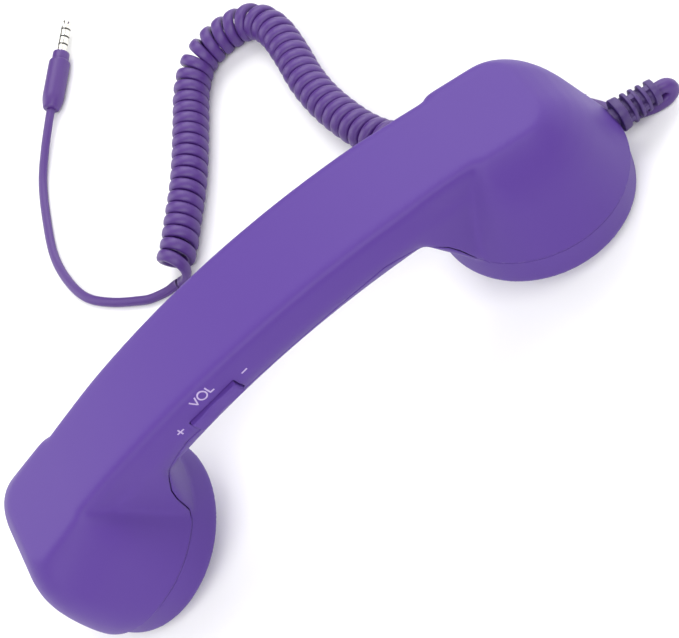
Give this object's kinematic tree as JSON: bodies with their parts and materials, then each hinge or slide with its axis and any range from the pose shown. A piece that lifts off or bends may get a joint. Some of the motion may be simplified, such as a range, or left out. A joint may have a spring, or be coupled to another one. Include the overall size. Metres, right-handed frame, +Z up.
{
  "type": "telephone handset",
  "caption": "Curved handset with two round tilted cups, a side volume rocker, a button in the grip, a ribbed strain relief and a curly cord that ends in a small round audio plug.",
  "frame": {"origin": "centre of the bottom of the handset's own box, on the surface it lies on face down", "axes": "+X along the handle from the ear cup to the mouth cup, +Z up to the back of the handset, -Y to the side with the volume rocker"},
  "size_m": [0.2298, 0.2312, 0.0616],
  "materials": {
    "housing": "satin",
    "inner_plastic": "moulded",
    "cord": "satin",
    "steel": "bright",
    "board": "laminate",
    "rubber": "matt",
    "contacts": "plated"
  },
  "bodies": {
    "handset": {"back_shell": "housing", "front_shell": "housing", "ear_cap": "housing", "mouth_cap": "housing", "receiver_gasket": "rubber", "receiver_basket": "inner_plastic", "receiver_diaphragm": "inner_plastic", "receiver_magnet": "steel", "microphone_boot": "rubber", "microphone_capsule": "steel", "circuit_board": "board", "controller_chip": "inner_plastic", "volume_switches": "inner_plastic", "answer_switch": "inner_plastic", "rocker_bracket": "housing", "housing_screws": "steel", "receiver_lead": "rubber", "microphone_lead": "rubber", "strain_relief": "cord", "cord_tail": "cord", "curly_cord": "cord", "cord_lead": "cord", "plug_body": "cord", "plug_collar": "cord", "plug_sleeve": "contacts", "plug_rings": "contacts", "plug_tip": "contacts", "plug_insulators": "inner_plastic"},
    "rocker": {"volume_rocker": "housing"},
    "button": {"answer_button": "housing"}
  },
  "joints": [
    {"name": "rocker_tilt", "type": "hinge", "parent": "handset", "child": "rocker", "pos_m": [-0.0218, -0.0126, 0.05153], "axis": [-0.0793, 0, 0.9969], "range_deg": [-3, 3], "stiffness_Nm_per_rad": 0.05},
    {"name": "button_press", "type": "slide", "parent": "handset", "child": "button", "axis": [-0.1091, 0, 0.994], "range_m": [0, 0.0005], "stiffness_N_per_m": 800}
  ]
}
